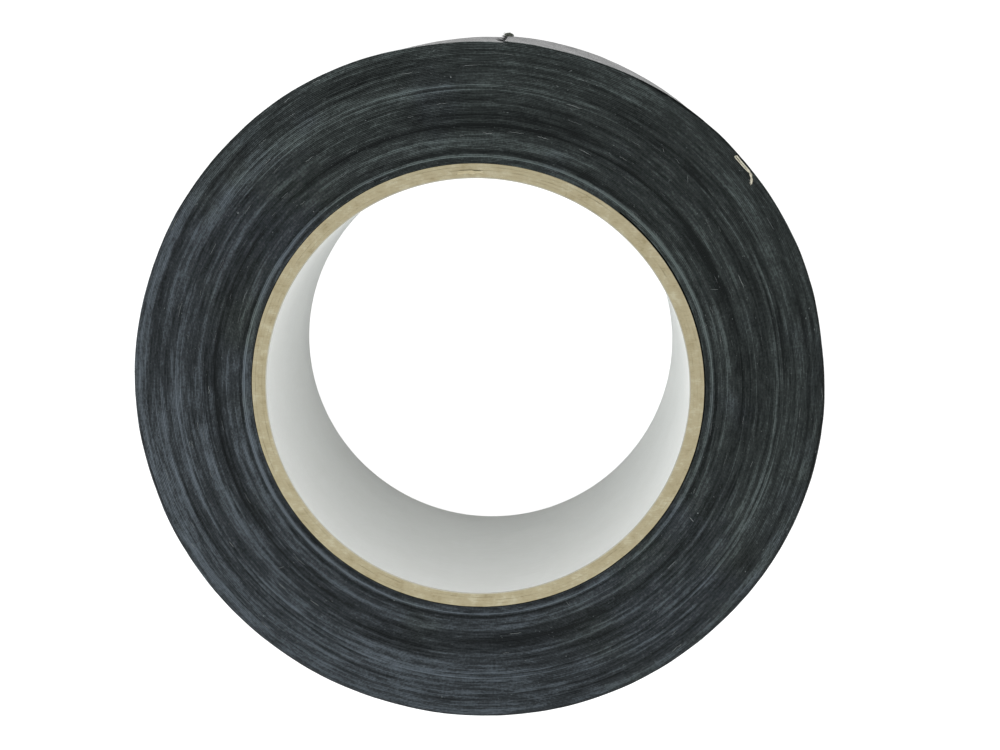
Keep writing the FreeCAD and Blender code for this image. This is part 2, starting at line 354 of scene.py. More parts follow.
# Plain weave: lengthwise and crosswise yarns that pass over and under each other.
def buildWeave():
    tree, given, result = newGroup("plainWeave", ["Height"], Yarn_Pitch=0.5, Unevenness=0.25)
    wander = noiseNode(tree, given.outputs["Vector"], 0.35, 2.0)
    push = mathNode(tree, "MULTIPLY", mathNode(tree, "SUBTRACT", wander, 0.5),
                    given.outputs["Unevenness"])
    waves = []
    for part in splitVector(tree, given.outputs["Vector"])[:2]:
        turned = mathNode(tree, "DIVIDE", part, given.outputs["Yarn Pitch"])
        turned = mathNode(tree, "ADD", turned, push)
        waves.append(mathNode(tree, "SINE", mathNode(tree, "MULTIPLY", turned, math.pi)))
    over = mathNode(tree, "MULTIPLY", waves[0], waves[1])
    over = rangeNode(tree, over, -0.12, 0.12)
    across = [mathNode(tree, "POWER", mathNode(tree, "ABSOLUTE", w), 0.6) for w in waves]
    along = [mathNode(tree, "POWER", mathNode(tree, "ABSOLUTE", w), 0.25) for w in waves]
    lengthwise = mathNode(tree, "MULTIPLY", across[1], along[0])
    crosswise = mathNode(tree, "MULTIPLY", across[0], along[1])
    lower = mathNode(tree, "MULTIPLY", crosswise, mathNode(tree, "SUBTRACT", 1.0, over))
    upper = mathNode(tree, "MULTIPLY", lengthwise, over)
    tree.links.new(mathNode(tree, "ADD", lower, upper), result.inputs["Height"])
    return tree


# Yarns that are thicker and thinner along their length, lengthwise and crosswise.
def buildSlubs():
    tree, given, result = newGroup("yarnSlubs", ["Value"], Slub_Length=9.0, Slub_Width=0.55)
    parts = splitVector(tree, given.outputs["Vector"])
    layers = []
    for sizes, lift in ((("Slub Length", "Slub Width"), 0.0), (("Slub Width", "Slub Length"), 31.0)):
        scaled = [mathNode(tree, "DIVIDE", part, given.outputs[size])
                  for part, size in zip(parts, sizes)]
        layers.append(noiseNode(tree, joinVector(tree, *scaled, lift), 1.0, 2.0, 0.55))
    both = mathNode(tree, "ADD", layers[0], layers[1])
    tree.links.new(mathNode(tree, "MULTIPLY", both, 0.5), result.inputs[0])
    return tree


# Small scattered specks, such as lint and dust.
def buildSpecks():
    tree, given, result = newGroup("specks", ["Mask"], Per_Millimetre=0.5, Size=0.06, Share=0.3)
    cells = tree.nodes.new("ShaderNodeTexVoronoi")
    tree.links.new(given.outputs["Vector"], cells.inputs["Vector"])
    tree.links.new(given.outputs["Per Millimetre"], cells.inputs["Scale"])
    near = mathNode(tree, "LESS_THAN", cells.outputs["Distance"], given.outputs["Size"])
    split = tree.nodes.new("ShaderNodeSeparateColor")
    tree.links.new(cells.outputs["Color"], split.inputs[0])
    chosen = mathNode(tree, "LESS_THAN", split.outputs[0], given.outputs["Share"])
    tree.links.new(mathNode(tree, "MULTIPLY", near, chosen), result.inputs[0])
    return tree


# Matted fibres lying in all directions, as in paper and board.
def buildFibres():
    tree, given, result = newGroup("mattedFibres", ["Value"], Per_Millimetre=3.0)
    layers = []
    for angle in (0.3, 1.4, 2.5):
        turn = tree.nodes.new("ShaderNodeMapping")
        turn.inputs["Rotation"].default_value = (angle * 0.7, angle * 0.4, angle)
        turn.inputs["Scale"].default_value = (0.16, 1.0, 1.0)
        tree.links.new(given.outputs["Vector"], turn.inputs["Vector"])
        node = tree.nodes.new("ShaderNodeTexNoise")
        node.inputs["Detail"].default_value = 3.0
        tree.links.new(turn.outputs[0], node.inputs["Vector"])
        tree.links.new(given.outputs["Per Millimetre"], node.inputs["Scale"])
        layers.append(node.outputs["Fac"])
    tree.links.new(mathNode(tree, "DIVIDE", total(tree, *layers), 3.0), result.inputs[0])
    return tree


streaksGroup = buildStreaks()
weaveGroup = buildWeave()
slubsGroup = buildSlubs()
specksGroup = buildSpecks()
fibresGroup = buildFibres()


# A new material, its node tree, its shader, and the object's own coordinates in millimetres.
def newMaterial(name, specular, rough=0.5):
    material = bpy.data.materials.new(name)
    material.use_nodes = True
    tree = material.node_tree
    shader = tree.nodes["Principled BSDF"]
    shader.inputs["Roughness"].default_value = rough
    shader.inputs["Specular IOR Level"].default_value = specular
    coords = tree.nodes.new("ShaderNodeTexCoord")
    inMm = vectorNode(tree, "SCALE", coords.outputs["Object"])
    inMm.node.inputs["Scale"].default_value = 1.0 / mm
    return material, tree, shader, inMm


def useGroup(tree, group, **values):
    node = tree.nodes.new("ShaderNodeGroup")
    node.node_tree = group
    for key, value in values.items():
        feed(tree, value, node.inputs[key.replace("_", " ")])
    return node


def markNode(tree, name):
    node = tree.nodes.new("ShaderNodeAttribute")
    node.attribute_name = name
    return node


def addBump(tree, shader, height, depth, strength):
    bump = tree.nodes.new("ShaderNodeBump")
    bump.inputs["Distance"].default_value = depth * mm
    bump.inputs["Strength"].default_value = strength
    tree.links.new(height, bump.inputs["Height"])
    tree.links.new(bump.outputs[0], shader.inputs["Normal"])


edgeLook = {
    "deep": (0.0026, 0.0042, 0.0044),
    "plain": (0.0185, 0.0226, 0.0230),
    # the palest colour: worn edges, and also the painted sheen and painted light that push the ramp
    # up
    "wornAndPaintedLight": (0.078, 0.093, 0.096),
    "fibre": (0.22, 0.24, 0.24),
    "bluish": (0.95, 0.98, 1.12),
    "greenish": (0.97, 1.02, 0.96),
    "lowRange": (0.02, 0.60),
    "highRange": (0.58, 1.25),
    # how fast painted sheen makes the roll paler across it, and a painted light tint makes it bluer,
    # per millimetre
    "paintedSheenSlope": (-0.0016, -0.0007, 0.0),
    "paintedLightTintSlope": (-0.0032, -0.0036, 0.0),
    # how often each layer changes round the axis and outwards, its shift and its strength
    "streaks": {
        "broad": (1.4, 0.28, 3.0, 1.15),
        "arcs": (1.1, 1.15, 14.0, 1.15),
        "bands": (6.0, 0.90, 40.0, 0.75),
        "lines": (15.0, 2.0, 60.0, 1.00),
        "fine": (110.0, 3.1, 90.0, 0.86),
        "ribs": (280.0, 0.40, 20.0, 0.20),
    },
    "dashes": (85.0, 3.6, 7.0),
}


def streakNode(tree, place, around, across, shift):
    group = useGroup(tree, streaksGroup, Vector=place, Around=around, Across=across, Shift=shift)
    return group.outputs[0]


# The bare edges of the cloth, seen on the flat faces of the roll.
def clothEdgeMaterial():
    material, tree, shader, place = newMaterial("clothEdge", 0.24)
    tone = markNode(tree, "tone").outputs["Fac"]
    streaks = {}
    for name, (*pattern, amount) in edgeLook["streaks"].items():
        centred = mathNode(tree, "SUBTRACT", streakNode(tree, place, *pattern), 0.5)
        streaks[name] = mathNode(tree, "MULTIPLY", centred, amount)
    # painted sheen: the edges get paler towards the lower left, where the key light's highlight
    # falls
    pale = vectorNode(tree, "DOT_PRODUCT", place, edgeLook["paintedSheenSlope"])
    value = total(tree, tone, pale, *streaks.values())
    low = rangeNode(tree, value, *edgeLook["lowRange"], smooth=False)
    high = rangeNode(tree, value, *edgeLook["highRange"], smooth=False)
    colour = mixColour(tree, low, edgeLook["deep"], edgeLook["plain"])
    colour = mixColour(tree, high, colour, edgeLook["wornAndPaintedLight"])
    # painted light tint: the slope makes the edges bluer towards the lower left, where the key light
    # falls; the noise adds random patches of tint
    side = vectorNode(tree, "DOT_PRODUCT", place, edgeLook["paintedLightTintSlope"])
    patch = mathNode(tree, "ADD", noiseNode(tree, place, 0.060, 3.0), side)
    tint = mixColour(tree, rangeNode(tree, patch, 0.35, 0.65), edgeLook["greenish"],
                     edgeLook["bluish"])
    colour = mixColour(tree, 1.0, colour, tint, "MULTIPLY")
    lint = useGroup(tree, specksGroup, Vector=place, Per_Millimetre=0.45, Size=0.06,
                    Share=0.08).outputs[0]
    dashes = rangeNode(tree, streakNode(tree, place, *edgeLook["dashes"]), 0.68, 0.80)
    light = mathNode(tree, "MAXIMUM", mathNode(tree, "MULTIPLY", dashes, 0.5),
                     mathNode(tree, "MULTIPLY", lint, 0.7))
    colour = mixColour(tree, light, colour, edgeLook["fibre"])
    tree.links.new(colour, shader.inputs["Base Color"])
    tree.links.new(rangeNode(tree, value, 0.0, 1.1, 0.82, 0.46), shader.inputs["Roughness"])
    relief = total(tree, streaks["lines"], streaks["fine"], streaks["ribs"])
    addBump(tree, shader, relief, 0.10, 0.6)
    return material


clothLook = {
    "yarn": 0.62,
    "uneven": 0.3,
    "slub": (11.0, 0.60),
    "dark": (0.0095, 0.0103, 0.0108),
    "light": (0.027, 0.029, 0.030),
    "scuffed": (0.044, 0.046, 0.047),
    "lint": (0.28, 0.28, 0.27),
    "adhesive": [(0.045, 0.044, 0.040), (0.10, 0.098, 0.088)],
    "bonded": [(0.004, 0.004, 0.0045), (0.010, 0.011, 0.011)],
}


# The weave and its slubs, which show on both faces of the tape.
def clothRelief(tree, place):
    weave = useGroup(tree, weaveGroup, Vector=place, Yarn_Pitch=clothLook["yarn"],
                     Unevenness=clothLook["uneven"])
    length, width = clothLook["slub"]
    slubs = useGroup(tree, slubsGroup, Vector=place, Slub_Length=length, Slub_Width=width)
    return weave.outputs["Height"], slubs.outputs[0]


# The outer face of the tape: black cloth under a thin plastic coat.
def coatedClothMaterial():
    material, tree, shader, _ = newMaterial("coatedCloth", 0.6)
    place = markNode(tree, "lie").outputs["Vector"]
    height, slubs = clothRelief(tree, place)
    uneven = rangeNode(tree, slubs, 0.36, 0.64, smooth=False)
    scuff = noiseNode(tree, place, 0.22, 5.0, 0.62)
    grain = noiseNode(tree, place, 4.0, 3.0, 0.6)
    shade = total(tree, (height, 0.60), (uneven, 0.40))
    colour = mixColour(tree, shade, clothLook["dark"], clothLook["light"])
    scuffed = rangeNode(tree, scuff, 0.48, 0.75, 0.0, 0.6)
    colour = mixColour(tree, scuffed, colour, clothLook["scuffed"])
    lint = useGroup(tree, specksGroup, Vector=place, Per_Millimetre=0.22, Size=0.035,
                    Share=0.25).outputs[0]
    colour = mixColour(tree, mathNode(tree, "MULTIPLY", lint, 0.6), colour, clothLook["lint"])
    tree.links.new(colour, shader.inputs["Base Color"])
    rough = total(tree, rangeNode(tree, scuff, 0.3, 0.7, 0.22, 0.38), (grain, 0.08), (uneven, 0.08))
    tree.links.new(rough, shader.inputs["Roughness"])
    addBump(tree, shader, total(tree, height, (uneven, 0.4), (grain, 0.2)), 0.060, 0.9)
    return material


# The inner face of the tape, with its rubbery adhesive pressed through the weave.
def adhesiveMaterial():
    material, tree, shader, _ = newMaterial("adhesiveFace", 0.4)
    place = markNode(tree, "lie").outputs["Vector"]
    height, slubs = clothRelief(tree, place)
    smear = noiseNode(tree, place, 0.6, 4.0, 0.6)
    tree.links.new(mixColour(tree, smear, *clothLook["adhesive"]), shader.inputs["Base Color"])
    tree.links.new(rangeNode(tree, smear, 0.3, 0.7, 0.38, 0.65), shader.inputs["Roughness"])
    addBump(tree, shader, total(tree, (height, 0.6), slubs, smear), 0.05, 0.7)
    return material


# The wound turns seen between their bare edges.
def bondMaterial():
    material, tree, shader, place = newMaterial("bondedBody", 0.1, 0.8)
    grain = noiseNode(tree, place, 3.0, 3.0)
    tree.links.new(mixColour(tree, grain, *clothLook["bonded"]), shader.inputs["Base Color"])
    addBump(tree, shader, grain, 0.04, 0.5)
    return material


boardLook = {
    "shade": (0.245, 0.200, 0.112),
    "body": (0.328, 0.284, 0.180),
    "light": (0.400, 0.360, 0.250),
}


# Pressed kraft board, cut across at the ends of the core.
def kraftMaterial(name="kraftBoard", lift=1.0):
    material, tree, shader, place = newMaterial(name, 0.2, 0.88)
    fibres = useGroup(tree, fibresGroup, Vector=place, Per_Millimetre=5.0).outputs[0]
    clouds = noiseNode(tree, place, 0.55, 4.0, 0.6)
    fine = noiseNode(tree, place, 9.0, 3.0, 0.65)
    value = total(tree, (fibres, 0.9), (clouds, 1.2), (fine, 0.5))
    body, light = (tuple(c * lift for c in boardLook[key]) for key in ("body", "light"))
    colour = mixColour(tree, rangeNode(tree, value, 0.90, 1.30), boardLook["shade"], body)
    colour = mixColour(tree, rangeNode(tree, value, 1.30, 1.60), colour, light)
    tree.links.new(colour, shader.inputs["Base Color"])
    addBump(tree, shader, value, 0.06, 0.6)
    return material


linerLook = {
    "dull": (0.83, 0.84, 0.815),
    "bright": (0.88, 0.89, 0.87),
    "cut": (0.36, 0.34, 0.27),
    "cutHeights": (49.80, 49.97),
}


# Smooth white paper that lines the bore.
def linerMaterial():
    material, tree, shader, place = newMaterial("linerPaper", 0.35)
    fibres = useGroup(tree, fibresGroup, Vector=place, Per_Millimetre=1.6).outputs[0]
    clouds = noiseNode(tree, place, 0.10, 3.0)
    value = total(tree, (fibres, 0.5), (clouds, 0.5))
    colour = mixColour(tree, rangeNode(tree, value, 0.38, 0.62), linerLook["dull"],
                       linerLook["bright"])
    cutEdge = rangeNode(tree, splitVector(tree, place)[2], *linerLook["cutHeights"])
    colour = mixColour(tree, cutEdge, colour, linerLook["cut"])
    tree.links.new(colour, shader.inputs["Base Color"])
    tree.links.new(rangeNode(tree, value, 0.35, 0.65, 0.46, 0.64), shader.inputs["Roughness"])
    addBump(tree, shader, fibres, 0.03, 0.4)
    return material


# dark colour, light colour, noise per millimetre
yarnLooks = {
    "darkYarn": ((0.010, 0.011, 0.012), (0.060, 0.064, 0.068), 6.0),
    "paleLint": ((0.06, 0.066, 0.068), (0.26, 0.28, 0.275), 6.0),
    "creamYarn": ((0.26, 0.235, 0.17), (0.56, 0.53, 0.43), 4.0),
    "tuftFibre": ((0.090, 0.100, 0.082), (0.34, 0.37, 0.31), 6.0),
}


# Loose fibres and yarns. The mesh's tone mark shades one strand from the next.
def yarnMaterial(name):
    dark, light, perMm = yarnLooks[name]
    material, tree, shader, place = newMaterial(name, 0.25, 0.8)
    tone = markNode(tree, "tone").outputs["Fac"]
    twist = noiseNode(tree, place, perMm, 3.0, 0.6)
    value = total(tree, tone, (mathNode(tree, "SUBTRACT", twist, 0.5), 0.9))
    tree.links.new(mixColour(tree, rangeNode(tree, value, 0.0, 1.0), dark, light),
                   shader.inputs["Base Color"])
    shader.inputs["Sheen Weight"].default_value = 0.15
    addBump(tree, shader, twist, 0.03, 0.6)
    return material


clothEdge = clothEdgeMaterial()
coatedCloth = coatedClothMaterial()
adhesiveFace = adhesiveMaterial()
bondedBody = bondMaterial()
kraftBoard = kraftMaterial()
kraftPale = kraftMaterial("kraftPale", 1.24)
linerPaper = linerMaterial()
darkYarn, paleLint, creamYarn, tuftFibre = (yarnMaterial(name) for name in yarnLooks)
print("materials ready")


tape = {
    "coreRadius": 40.7,
    "cloth": 0.21,
    "adhesive": 0.058,
    "width": 50.0,
    "turns": 78,
    "startAngle": 52.0,
    "edgeDepth": 1.0,
}
tape["pitch"] = tape["cloth"] + tape["adhesive"]

# Where the roll is out of round at its rim: angle, half width in degrees, millimetres.
rollShape = {
    "dents": [(8.0, 9.0, -0.34), (98.0, 12.0, -0.50), (75.0, 13.0, -0.48), (127.0, 10.0, 0.08),
              (163.0, 8.0, -0.10), (195.0, 7.0, -0.12), (255.0, 7.0, -0.08), (290.0, 17.0, 0.14),
              (338.0, 12.0, 0.12)],
    "swell": 0.40,
    "flare": 0.66,
    "lowerDents": 0.2,
    "wave": 0.05,
    "depth": 21.2,
}


# Point of the roll at an angle, a radius and a height, with its dents, waves and flare.
def wound(azimuth, radius, height):
    azimuth, radius, height = np.broadcast_arrays(azimuth, radius, height)
    grow = np.clip((radius - tape["coreRadius"]) / rollShape["depth"], 0.0, 1.05)
    push = np.zeros(azimuth.shape)
    for middle, spread, amount in rollShape["dents"]:
        off = (azimuth - middle + 180.0) % 360.0 - 180.0
        push += amount * np.exp(-(off / spread) ** 2)
    share = rollShape["lowerDents"]
    up = np.clip(height / tape["width"], 0.0, 1.0)
    push *= share + (1.0 - share) * up
    push = (push + rollShape["swell"]) * grow ** 1.4
    near = np.clip((radius - tape["coreRadius"]) / 1.5, 0.0, 1.0)
    push += rollShape["wave"] * roundNoise(azimuth, 26.0, radius / 5.0) * near
    push += rollShape["flare"] * grow ** 2 * (1.0 - up) ** 2
    a = np.radians(azimuth)
    out = radius + push
    return np.stack([out * np.cos(a), out * np.sin(a), height * np.ones_like(out)], axis=-1)


# Inner radius of the cloth after so many turns from its start.
def windingRadius(turn):
    return tape["coreRadius"] + tape["adhesive"] + tape["pitch"] * turn


# How far each turn's edge stands out, and how much paler or darker it is, from the core to the rim.
edgeTurns = {
    "stations": 240,
    "groups": 3,
    "bulge": 0.252,
    "bevel": 0.035,
    "seeds": {"upper": 1, "lower": 9},
    # radius, spread, how far it stands out, how much paler it is
    "rings": [(41.2, 0.40, -0.20, 0.12), (42.0, 0.32, 0.10, 0.66), (42.8, 0.35, -0.08, -0.22),
              (43.8, 0.30, 0.03, 0.14), (45.0, 0.35, 0.03, 0.16), (47.1, 0.90, -0.08, -0.26),
              (49.2, 1.10, 0.0, -0.10), (48.3, 0.25, 0.03, 0.12), (50.1, 0.25, 0.04, 0.16),
              (53.5, 0.25, 0.06, 0.24), (54.4, 0.20, 0.05, 0.22), (57.0, 0.30, 0.03, 0.12),
              (58.4, 0.25, 0.02, 0.12), (60.4, 0.90, 0.02, 0.15)],
}


def turnEdges(side):
    wholeTurns = tape["turns"] - 1
    perTurn = edgeTurns["stations"]
    seed = edgeTurns["seeds"][side]
    ownLift = np.random.default_rng(seed).normal(0.0, 0.030, wholeTurns + 2)
    ownTone = np.random.default_rng(seed + 1).normal(0.0, 0.05, wholeTurns + 2)
    bounds = np.linspace(0, wholeTurns, edgeTurns["groups"] + 1).round().astype(int)
    for number, (first, last) in enumerate(zip(bounds[:-1], bounds[1:]), start=1):
        turn = np.linspace(first, last, (last - first) * perTurn + 1)
        azimuth = tape["startAngle"] + 360.0 * turn
        middle = windingRadius(turn) + tape["cloth"] / 2
        whole = np.floor(turn).astype(int)
        blend = np.clip((turn - whole - 0.9) / 0.1, 0.0, 1.0)  # one turn's look runs into the next
        lift = ownLift[whole] * (1 - blend) + ownLift[whole + 1] * blend
        tone = ownTone[whole] * (1 - blend) + ownTone[whole + 1] * blend
        lift += 0.07 * roundNoise(azimuth, 14.0, turn * 0.33, seed + 2)
        lift += 0.035 * roundNoise(azimuth, 70.0, turn * 1.7, seed + 4)
        tone += 0.08 * roundNoise(azimuth, 24.0, turn * 0.9, seed + 6)
        if side == "upper":
            for ring, spread, height, pale in edgeTurns["rings"]:
                near = np.exp(-((middle - ring) / spread) ** 2)
                lift += height * near
                tone += pale * near
        # painted shade and painted light: turns that sit lower are darker, and turns that stand out
        # are paler
        tone = 0.5 + tone + 0.8 * np.clip(lift, -0.20, 0.15)
        lift = np.clip(lift, -0.55, 0.22)
        half = edgeTurns["bulge"] / 2
        deep, bevel = -tape["edgeDepth"], -edgeTurns["bevel"]
        profile = [(half, deep), (half, bevel), (half * 0.5, 0.0),
                   (-half * 0.5, 0.0), (-half, bevel), (-half, deep)]
        columns, tones = [], []
        for out, drop in profile:
            top = tape["width"] + np.where(drop < -0.5, drop, drop + lift)
            height = top if side == "upper" else tape["width"] - top
            columns.append(wound(azimuth, middle + out, height))
            # painted shade: the sides of each turn, down in the gaps between turns, are darker, and
            # the bevelled shoulders a little darker
            tones.append(tone - (0.45 if drop < -0.5 else 0.05 if drop < 0 else 0.0))
        rings = np.stack(columns, axis=1)
        marks = {"tone": np.stack(tones, axis=1)}
        piece = loft("%sTurns%d" % (side, number), rings, [clothEdge], marks=marks)
        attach(piece, "roll")


turnEdges("upper")
turnEdges("lower")
print("turn edges made")


# gaps below and above the body, degrees between stations, rows up its sides
bonded = {"below": 0.55, "above": 0.62, "step": 1.5, "rows": 9}


# The bonded body of the winding under its bare edges, one closed spiral-sided ring.
def woundBody():
    azimuth = np.arange(0.0, 360.0, bonded["step"])
    sinceStart = (azimuth - tape["startAngle"]) % 360.0 / 360.0
    rim = windingRadius(tape["turns"] - 2 + sinceStart)
    low, high = bonded["below"], tape["width"] - bonded["above"]
    inner = tape["coreRadius"]
    outerSide = [(rim, z) for z in np.linspace(low, high, bonded["rows"])]
    across = [0.75, 0.5, 0.25]
    top = [(inner + (rim - inner) * share, high) for share in across]
    innerSide = [(inner, z) for z in np.linspace(high, low, bonded["rows"])]
    bottom = [(inner + (rim - inner) * share, low) for share in reversed(across)]
    loop = outerSide + top + innerSide + bottom
    rings = np.stack([wound(azimuth, radius, height) for radius, height in loop], axis=1)
    piece = loft("woundBody", rings, [bondedBody], closed=True)
    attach(piece, "roll")
    return piece


body = woundBody()
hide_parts("tape_winding")


strip = {
    "grid": 1.0,
    "rootAngle": 4.0,
    "outerRows": 51,
    "freeRun": 36.7,
    "creases": 4,
    "bendRun": 4.3,
    "skew": 1.0,
    "jags": (0.12, 0.10),
    "ripples": (0.035, 0.02),
    "curl": 0.03,
}


# Length of tape wound on since the start of the winding.
def tapeRun(turn):
    return math.tau * (tape["coreRadius"] * turn + tape["pitch"] * turn * turn / 2)


def tapeStrip(name, turnStart, turnEnd, cutEnd=False):
    length = tapeRun(turnEnd) - tapeRun(turnStart)
    stations = max(6, int(length / strip["grid"]) + 1)
    turn = np.linspace(turnStart, turnEnd, stations)[:, None]
    azimuth = tape["startAngle"] + 360.0 * turn
    rows = strip["outerRows"]
    height = np.linspace(0.0, tape["width"], rows)[None, :]
    if cutEnd:  # the cut runs a little askew, and its edge is uneven
        share = (turn - turnStart) / (turnEnd - turnStart)
        small, large = strip["jags"]
        jag = small * smoothNoise(height * 2.1, 0.5, 31) + large * smoothNoise(height * 0.4, 1.5, 32)
        reach = strip["skew"] * (0.5 - height / tape["width"]) + np.degrees(jag / 62.0)
        azimuth = azimuth + share * reach
    azimuth = azimuth + 0.0 * height
    inner = windingRadius(turn) + 0.0 * height
    broad, fine = strip["ripples"]
    ripple = broad * smoothNoise(turn * 95.0, height / 9.0, 40)
    ripple += fine * smoothNoise(turn * 420.0, height / 2.5, 41)
    edge = np.minimum(height, tape["width"] - height)
    curl = strip["curl"] * np.exp(-edge / 0.5)
    outer = inner + tape["cloth"] + ripple - curl
    inner = inner + ripple * 0.5 + curl * 0.3
    lift = 0.05 * roundNoise(azimuth, 40.0, turn * 2.0, 43)
    rise = height + lift * np.where(height > 25.0, 1.0, -0.3) * np.exp(-edge / 0.4)
    outside = wound(azimuth, outer, rise)
    inside = wound(azimuth, inner, rise)[:, ::-1]
    rings = np.concatenate([outside, inside], axis=1)
    along = tapeRun(turn) - tapeRun(tape["turns"] - 1.0) + 0.0 * height
    lie = np.stack([along, height + 0.0 * turn, np.zeros(along.shape)], axis=-1)
    lie = np.concatenate([lie, lie[:, ::-1]], axis=1)
    tone = 0.55 + 0.2 * roundNoise(azimuth, 60.0, height, 44)
    tone = np.concatenate([tone, tone[:, ::-1]], axis=1)
    slots = np.zeros(2 * rows)
    slots[rows - 1] = 2
    slots[rows:2 * rows - 1] = 1
    slots[2 * rows - 1] = 2
    marks = {"lie": lie, "tone": tone}
    piece = loft(name, rings, [coatedCloth, adhesiveFace, clothEdge], columnSlots=slots, marks=marks,
                 flatColumns=(rows - 1, 2 * rows - 1))
    return piece


lastTurn = float(tape["turns"])
rootShare = strip["rootAngle"] / 360.0
outerTurn = tapeStrip("outerTurn", lastTurn - 1.0, lastTurn - rootShare)
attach(outerTurn, "roll")

# The free end has four creases. Each piece runs from the middle of one stiff
# strip to the middle of the next, so that every crease lies inside one piece.
stripRun = strip["freeRun"] / strip["creases"]
tailRadius = windingRadius(lastTurn) + tape["cloth"] / 2
stripTurn = stripRun / tailRadius / math.tau


def alongTape(azimuth):
    a = math.radians(azimuth)
    return Vector((-math.sin(a), math.cos(a), 0.0))


for number in range(1, strip["creases"] + 1):
    start = lastTurn - rootShare if number == 1 else lastTurn + stripTurn * (number - 1.5)
    end = lastTurn + stripTurn * (number - 0.5)
    piece = tapeStrip("freeEnd%d" % number, start, end)
    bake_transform(piece)
    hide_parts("tape_end_%d" % number)
tip = tapeStrip("freeEndTip", lastTurn + stripTurn * 3.5, lastTurn + stripTurn * 4.0, cutEnd=True)
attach(tip, "tape_end_4")
print("outer turn and free end made")


core = {
    "bore": 38.1,
    "liner": 0.2,
    "ply": 0.6,
    "lead": 110.0,
    "stations": 500,
    "rows": 26,
    "bevel": 0.005,
    # angle of each seam at the upper face, and the width of its gap
    "linerSeam": (130.0, 0.06),
    "plySeams": [(66.0, 0.06), (91.5, 1.5), (40.0, 0.06), (12.0, 0.06)],
}


# One wrap of the core: a strip wound in a helix whose edges nearly meet at the seam.
def coreWrap(name, inner, outer, seam, material, rough, seed):
    rows = core["rows"]
    seamAngle, gapWidth = seam
    gap = math.degrees(gapWidth / inner / math.sin(math.atan2(core["lead"], math.tau * inner)))
    share = np.linspace(0.0, 1.0, core["stations"])[:, None]
    height = np.linspace(0.0, tape["width"], rows)[None, :]
    azimuth = seamAngle + (height - tape["width"]) * 360.0 / core["lead"]
    azimuth = azimuth + gap / 2 + share * (360.0 - gap)
    edge = np.minimum(height, tape["width"] - height)
    fray = rough * roundNoise(azimuth, 150.0, seed + 0.5, seed + 50)
    fray += rough * 0.8 * roundNoise(azimuth, 45.0, seed + 1.5, seed + 51)
    rise = height + np.where(height > 25.0, 1.0, 0.0) * (fray - rough * 0.4) * np.exp(-edge / 0.25)
    bevel = core["bevel"] * np.exp(-edge / 0.12)
    wave = 0.5 * rough * roundNoise(azimuth, 60.0, height / 12.0, seed + 52)
    a = np.radians(azimuth)

    def wall(radius):
        return np.stack([radius * np.cos(a), radius * np.sin(a), rise + 0.0 * share], axis=-1)

    outside = wall(outer - bevel - 0.003 + wave * 0.2 * np.exp(-edge / 0.5))
    inside = wall(inner + bevel + wave * 0.2 * np.exp(-edge / 0.5))[:, ::-1]
    rings = np.concatenate([outside, inside], axis=1)
    piece = loft(name, rings, [material], flatColumns=(rows - 1, 2 * rows - 1))
    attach(piece, "roll")
    return piece


liner = coreWrap("boreLiner", core["bore"], core["bore"] + core["liner"], core["linerSeam"],
                 linerPaper, rough=0.02, seed=1)
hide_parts("core_liner")
for number, seam in enumerate(core["plySeams"], start=1):
    inner = core["bore"] + core["liner"] + core["ply"] * (number - 1)
    ply = coreWrap("corePly%d" % number, inner, inner + core["ply"], seam, kraftBoard,
                   rough=0.06, seed=number + 1)
    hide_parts("core_ply_%d" % number)


tongue = {
    "start": 88.2,
    "span": 6.6,
    "radius": 39.22,
    "width": 0.62,
    "height": 50.06,
    "arch": 0.22,
    "thick": 0.14,
}


# A torn tongue of the second ply that stands up at its open seam.
def tornTongue():
    count, wide = 26, 6
    share = np.linspace(0.0, 1.0, count)[:, None]
    across = np.linspace(-0.5, 0.5, wide)[None, :]
    azimuth = tongue["start"] + tongue["span"] * share
    azimuth = azimuth + 0.15 * smoothNoise(share * 9, across * 3, 71)
    width = tongue["width"] + 0.22 * smoothNoise(share * 6.0, 0.3, 72)
    radius = tongue["radius"] + across * width + 0.10 * smoothNoise(share * 4.0, 2.0, 73)
    height = tongue["height"] + tongue["arch"] * np.sin(math.pi * share)
    height = height + 0.08 * smoothNoise(share * 8, across * 4, 74)
    a = np.radians(azimuth + 0.0 * across)
    top = np.stack([radius * np.cos(a), radius * np.sin(a), height + 0.0 * a], axis=-1)
    under = top[:, ::-1] - np.array([0.0, 0.0, tongue["thick"]])
    piece = loft("plyTongue", np.concatenate([top, under], axis=1), [kraftPale])
    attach(piece, "roll")


tornTongue()
print("paper core made")


def polar(azimuth, radius, height):
    a = math.radians(azimuth)
    return np.array([radius * math.cos(a), radius * math.sin(a), height])


fuzz = {
    "arcs": 130,
    "arcLengths": (0.6, 3.0),
    "hairs": 7,
    "hairLengths": (0.5, 1.6),
    "radii": (41.3, 61.6),
    "side": (95.0, 75.0),  # where most of the arcs lie: middle and spread, in degrees
}


